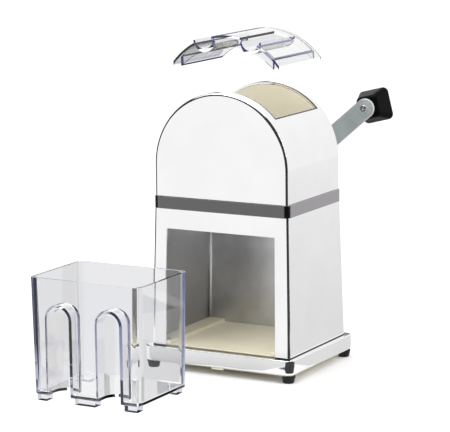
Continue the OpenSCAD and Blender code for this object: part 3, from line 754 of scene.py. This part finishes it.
def cross_recess(centre, y_low, y_high, half, width):
    """Cross-shaped tool for a screw's recess, along Y."""
    points = [(width, width), (width, half), (-width, half), (-width, width), (-half, width),
              (-half, -width), (-width, -width), (-width, -half), (width, -half),
              (width, -width), (half, -width), (half, width)]
    return prism([(centre.x + a, centre.z + b) for a, b in points], "y", y_low, y_high)


def build_screw(name, centre, seat, outward, radius, height, shank_r, shank_to, metal_material):
    """Pan-head screw along Y: its head stands outward from seat, its shank runs to shank_to."""
    round_share, recess_share, recess_half, recess_width = 0.6, 0.6, 0.55, 0.12
    rounding = min(height, radius) * round_share
    profile = [(shank_r, shank_to), (shank_r, seat), (radius, seat)]
    profile += [(radius - rounding + r, seat + outward * (height - rounding + z))
                for r, z in arc(rounding, 0, 90, 6)]
    screw = make(name, revolve_y(profile, centre, 40), metal_material)
    top = seat + outward * height
    low, high = sorted((top + outward * CUT, top - outward * height * recess_share))
    cut(screw, cross_recess(centre, low, high, radius * recess_half, radius * recess_width),
        metal_material)
    finish_piece(screw, "crank", 0.00012, 1)
    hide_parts(name)


def build_knob(black):
    """Knob: a square that widens away from the arm, all its corners round."""
    low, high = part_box("knob")
    near_half, far_half, rounding = 0.0115, 0.0157, 0.005
    turn = math.radians(14)
    spindle, well, seat = 0.00406, 0.0075, high.y - 0.0062

    def ring(half, inset, y):
        flat = round_rect(half - inset, half - inset, rounding + 0.0002 - inset, 8)
        return [(KNOB.x + a * math.cos(turn) - b * math.sin(turn), y,
                 KNOB.z + a * math.sin(turn) + b * math.cos(turn)) for a, b in flat]

    rings = [ring(near_half, rounding - r, low.y + rounding + y)
             for r, y in arc(rounding, -90, 0, 8)]
    rings += [ring(far_half, rounding - r, high.y - rounding + y)
              for r, y in arc(rounding, 0, 90, 8)]
    knob = make("knob_body", loft(rings), black)
    cut(knob, revolve_y([(spindle, low.y - CUT), (spindle, high.y)], KNOB, 48), black)
    cut(knob, revolve_y([(well, seat), (well, high.y + CUT)], KNOB, 48), black)
    finish_piece(knob, "knob", 0.0003)
    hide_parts("knob")


# ---------------------------------------------------------------- drawer and lid

def build_drawer(clear):
    """Clear box that widens upwards, with two arched finger alcoves in its front."""
    low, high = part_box("drawer")
    centre_y = (low.y + high.y) / 2
    top_half = (high.x, (high.y - low.y) / 2)
    foot_half = (0.0533, 0.0403)
    wall, floor, corner, fillet = 0.0022, 0.0024, 0.0055, 0.007
    alcove_places, alcove_half, alcove_wall = (-0.0271, 0.0231), 0.0113, 0.002
    round_z = high.z - 0.0245 - alcove_half
    round_y = low.y + 0.024 - alcove_half

    def ring(inset, z, radius):
        share = (z - low.z) / (high.z - low.z)
        half = [a + (b - a) * share - inset for a, b in zip(foot_half, top_half)]
        return [(x, centre_y + y, z) for x, y in round_rect(half[0], half[1], radius)]

    foot_round = 0.0012
    outer = [ring(foot_round - r, low.z + foot_round + z, corner - foot_round + r)
             for r, z in arc(foot_round, -90, 0, 4)]
    outer.append(ring(0, high.z, corner))
    inner = [ring(wall + foot_round, low.z + floor, fillet - foot_round),
             ring(wall, low.z + floor + foot_round, fillet), ring(wall, high.z + CUT, fillet)]

    def alcove(grow):
        """Rings of an arched slot with a round back and a domed top, grown outward by grow."""
        radius = alcove_half + grow
        rings = []
        steps = 24
        tip = 0.02
        outline = arc(radius, 0, 180, steps)
        front = low.y - CUT
        for y in (front, round_y):
            ring_points = [(a, y, round_z + b) for a, b in outline]
            ring_points += [(-radius, y, low.z - CUT), (radius, y, low.z - CUT)]
            rings.append(ring_points)
        for k in range(1, steps // 2 + 1):
            angle = math.pi / 2 * k / (steps // 2)
            shrink = math.cos(angle) if k < steps // 2 else tip
            y = round_y + radius * math.sin(angle)
            ring_points = [(a * shrink, y, round_z + b * shrink) for a, b in outline]
            ring_points += [(-radius * shrink, y, low.z - CUT), (radius * shrink, y, low.z - CUT)]
            rings.append(ring_points)
        return rings

    def shifted(rings, dx):
        return loft([[(x + dx, y, z) for x, y, z in points] for points in rings])

    drawer = make("drawer_box", loft(outer), clear)
    cut(drawer, loft(inner), clear)
    for place in alcove_places:
        block = make("block", shifted(alcove(alcove_wall), place), clear)
        combine(block, "INTERSECT", loft([ring(wall / 2, low.z + 0.0005, corner),
                                          ring(wall / 2, high.z, corner)]), clear)
        join(drawer, taken(block), clear)
    for place in alcove_places:
        cut(drawer, shifted(alcove(0), place), clear)
    finish_piece(drawer, "drawer", 0.0003, 2)
    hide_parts("drawer")


def build_lid(clear):
    """Clear curved cover with a skirt below it and two half-round finger troughs."""
    low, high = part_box("lid")
    rise, thick = 0.0025, 0.0022
    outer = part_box("upper_housing")[1].x + rise
    inner = outer - thick
    spring = high.z - outer
    middle = (outer + inner) / 2
    half = high.x
    skirt_x, skirt_gap, skirt, depth = 0.0493, 0.0015, 0.002, 0.010
    skirt_front, skirt_rear = MOUTH_FRONT + skirt_gap, MOUTH_REAR - skirt_gap
    trough_x, trough_r, trough_wall, trough_rear, trough_sink = 0.0245, 0.0095, 0.0018, 0.028, 0.0016
    trough_z = spring + math.sqrt(outer ** 2 - trough_x ** 2)

    def band(radius_out, radius_in, limit_out, limit_in):
        a_out = math.degrees(math.asin(limit_out / radius_out))
        a_in = math.degrees(math.asin(limit_in / radius_in))
        return (arc(radius_out, 90 - a_out, 90 + a_out, 64, (0, spring))
                + arc(radius_in, 90 + a_in, 90 - a_in, 64, (0, spring)))

    lid = make("lid_cover", prism(band(outer, inner, half, half), "y", low.y, high.y), clear)

    def strip(limit):
        angle = math.degrees(math.asin(limit / middle))
        top = arc(middle, 90 - angle, 90 + angle, 64, (0, spring))
        return top + [(x, z - depth) for x, z in reversed(top)]

    block = prism(strip(skirt_x), "y", skirt_front, skirt_rear)
    join(lid, block, clear)
    angle = math.degrees(math.asin((skirt_x - skirt) / inner))
    top = arc(inner, 90 - angle, 90 + angle, 64, (0, spring))
    hollow = top + [(x, z - 2 * depth) for x, z in reversed(top)]
    cut(lid, prism(hollow, "y", skirt_front + skirt, skirt_rear - skirt), clear)
    for side in (-1, 1):
        tube = arc(trough_r + trough_wall, 180, 360, 32, (side * trough_x, trough_z - trough_sink))
        join(lid, prism(tube, "y", skirt_front, trough_rear + trough_wall), clear)
    for side in (-1, 1):
        tool = arc(trough_r, 180, 360, 32, (side * trough_x, trough_z))
        tool += [(side * trough_x + trough_r, trough_z + CUT), (side * trough_x - trough_r, trough_z + CUT)]
        cut(lid, prism(tool, "y", low.y - CUT, trough_rear), clear)
    finish_piece(lid, "lid", 0.0003, 2)
    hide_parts("lid")


# ---------------------------------------------------------------- carried-over CAD nodes

def dress(node, material, width=0.0):
    """Gives a CAD node its material, and a small rounding to its sharp edges."""
    obj = frame["nodes"][node]
    obj.data.materials.clear()
    obj.data.materials.append(material)
    if width:
        bevel = obj.modifiers.new("soft_edges", "BEVEL")
        bevel.width = width
        bevel.segments = 2
        bevel.limit_method = "ANGLE"
        bevel.angle_limit = math.radians(50)


# ---------------------------------------------------------------- scene

add_camera()
add_world(1.15)
add_area_light("top_light", (-0.5, -0.4, 2.2), (0, 0, 0.1), 1.6, 22)
add_area_light("side_light", (1.7, 0.8, 0.9), (0, 0, 0.15), 0.9, 14)
add_area_light("compartment_light", (0.03, -0.04, 0.128), (0.045, 0.05, 0.06), 0.04, 0.058)
bpy.context.scene.view_settings.view_transform = "Standard"
bpy.context.scene.cycles.max_bounces = 24
bpy.context.scene.cycles.transmission_bounces = 24

floor_material = satin_plastic("paper_floor", (0.88, 0.88, 0.88), (0.9, 0.9, 0.9), 0.7, 0.85)
floor = make("floor", box_solid((-FLOOR_SIZE / 2, -FLOOR_SIZE / 2, -0.01),
                                (FLOOR_SIZE / 2, FLOOR_SIZE / 2, 0)), floor_material)
black_board = satin_plastic("black_board", (0.01, 0.01, 0.01), (0.014, 0.014, 0.014), 0.8, 0.9)
front_board = grey_board("front_board", 0.66, 1.0, 0.08, 0.2)
side_board = grey_board("side_board", 0.78, 1.02, 0.2, 2.2)
back_board = grey_board("back_board", 0.86, 0.9, 0.2, 3.0)
add_flag("front_board", (-48, 19), (0.075, 1.7), (0.0, 0.25), front_board)
add_flag("front_right_flag", (20, 92), (0.12, 1.3), (0.0, 2.4), black_board)
add_flag("right_flag", (92, 118), (0.3, 1.3), (0.0, 2.4), black_board)
add_flag("left_flag", (-140, -49), (0.3, 1.3), (0.0, 1.2), black_board)
add_flag("front_top_flag", (-62, 20), (0, 1.5), (0.35, 2.7), black_board)
add_flag("near_side_board", (92, 122), (0.082, 0.3), (0.0, 0.001), side_board)
add_flag("rear_right_board", (122, 182), (0.08, 1.7), (0.0, 1.3), side_board)
add_flag("rear_edge_flag", (184, 212), (0.4, 1.7), (0.0, 0.42), black_board)
add_flag("backdrop_board", (-240, 0), (0.02, 3.0), (0.0, 3.0), back_board, False, FLAG_LIFT / 2)
add_flag("left_outer_flag", (-125, -50), (0.58, 1.3), (0.0, 1.2), black_board, False)
add_flag("left_inner_flag", (-84, -46), (0.32, 0.58), (0.0, 0.001), black_board, False)
add_flag("rear_flag", (140, 172), (0.5, 1.3), (0.0, 1.2), black_board, False)

chrome = chrome_plating()
lining = inner_metal()
# The compartment's cream and the hopper's lighter cream are copies of one plastic: painted shade and
# painted light.
cream = satin_plastic("cream_plastic", (0.76, 0.705, 0.53), (0.80, 0.745, 0.57), 0.3, 0.4)
hopper_cream_painted_light = satin_plastic("hopper_cream_painted_light", (0.88, 0.83, 0.665), (0.92, 0.87, 0.705), 0.3, 0.4)
band_plastic = band_painted_sheen()
rubber = foot_rubber()
black = gloss_black_painted_highlight()
clear = clear_acrylic()
arm_steel = arm_finish()
steel = metal("machined_steel", (0.55, 0.56, 0.57), (0.66, 0.67, 0.68), 0.2, 0.34, (1, 0.1, 1))
cast = metal("cast_alloy", (0.48, 0.48, 0.49), (0.58, 0.58, 0.59), 0.4, 0.6, (1, 1, 1))
bronze = metal("bearing_bronze", (0.58, 0.42, 0.2), (0.68, 0.5, 0.26), 0.25, 0.4, (1, 0.2, 1))
panel = metal("brushed_panel", (0.58, 0.58, 0.59), (0.70, 0.70, 0.71), 0.3, 0.4, (1, 1, 0.04))
# Lighter plastic on the panel's bends: a painted highlight.
bend = satin_plastic("panel_bend_painted_highlight", (0.70, 0.70, 0.72), (0.76, 0.76, 0.78), 0.4, 0.5)
# Near-black metal for the rolled edge round the mouth: a painted dark reflection.
painted_dark_reflection = metal("rolled_edge_painted_dark", (0.06, 0.055, 0.055), (0.09, 0.085, 0.085), 0.2, 0.3, (1, 1, 1))
# Near-black lining of the groove at the housing's foot: painted shade.
groove_shade = satin_plastic("seal_rubber", (0.03, 0.03, 0.032), (0.045, 0.045, 0.048), 0.6, 0.75)

build_dome(chrome, lining, painted_dark_reflection)
build_lower_housing(chrome, lining, groove_shade)
build_plinth(chrome, lining)
build_band(band_plastic)
build_feet(rubber)
build_tray(cream)
build_back_panel(panel, bend)
build_hopper(hopper_cream_painted_light)
build_arm(arm_steel)
build_knob(black)
build_screw("knob_screw", KNOB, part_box("knob_disc")[0].y, -1, 0.0035, 0.0018, 0.002,
            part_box("knob_screw")[1].y, steel)
build_screw("hub_screw", SHAFT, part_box("hub_washer")[1].y, 1, 0.0046, 0.0026, 0.0015,
            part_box("hub_screw")[0].y, steel)
build_drawer(clear)
build_lid(clear)

dress("base_pan", cream, 0.0003)
dress("knob_cap", black, 0.0003)
dress("drawer_pads", clear)
dress("crusher_chamber", cast, 0.0003)
for part in ("front_bearing", "rear_bearing", "thrust_washers"):
    dress(part, bronze)
dress("crank_hub", arm_steel, 0.0004)
dress("knob_disc", arm_steel, 0.0002)
for part in ("foot_screws", "base_screws", "housing_screws", "chamber_screws", "comb_screws",
             "fixed_comb", "rotor_shaft", "rotor_spacers", "shaft_clip", "hub_washer", "knob_spindle",
             "knob_retainer"):
    dress(part, steel)
for number in range(1, 7):
    dress(f"rotor_blade_{number}", steel, 0.0002)

# Reflections hold only the housings, the floor, the boards and what lies inside the openings,
# and the raised drawer casts no shadow.
HOUSINGS = ("dome", "lower_shell", "plinth_shell", "band_ring", "floor")
INSIDE = ("rear_panel", "tray", "hopper")
for obj in bpy.data.objects:
    if obj.type == "MESH" and not obj.name.startswith(HOUSINGS) \
            and not obj.name.endswith(("board", "flag")):
        obj.visible_glossy = obj.name.startswith(INSIDE)
        obj.visible_shadow = not obj.name.startswith("drawer")
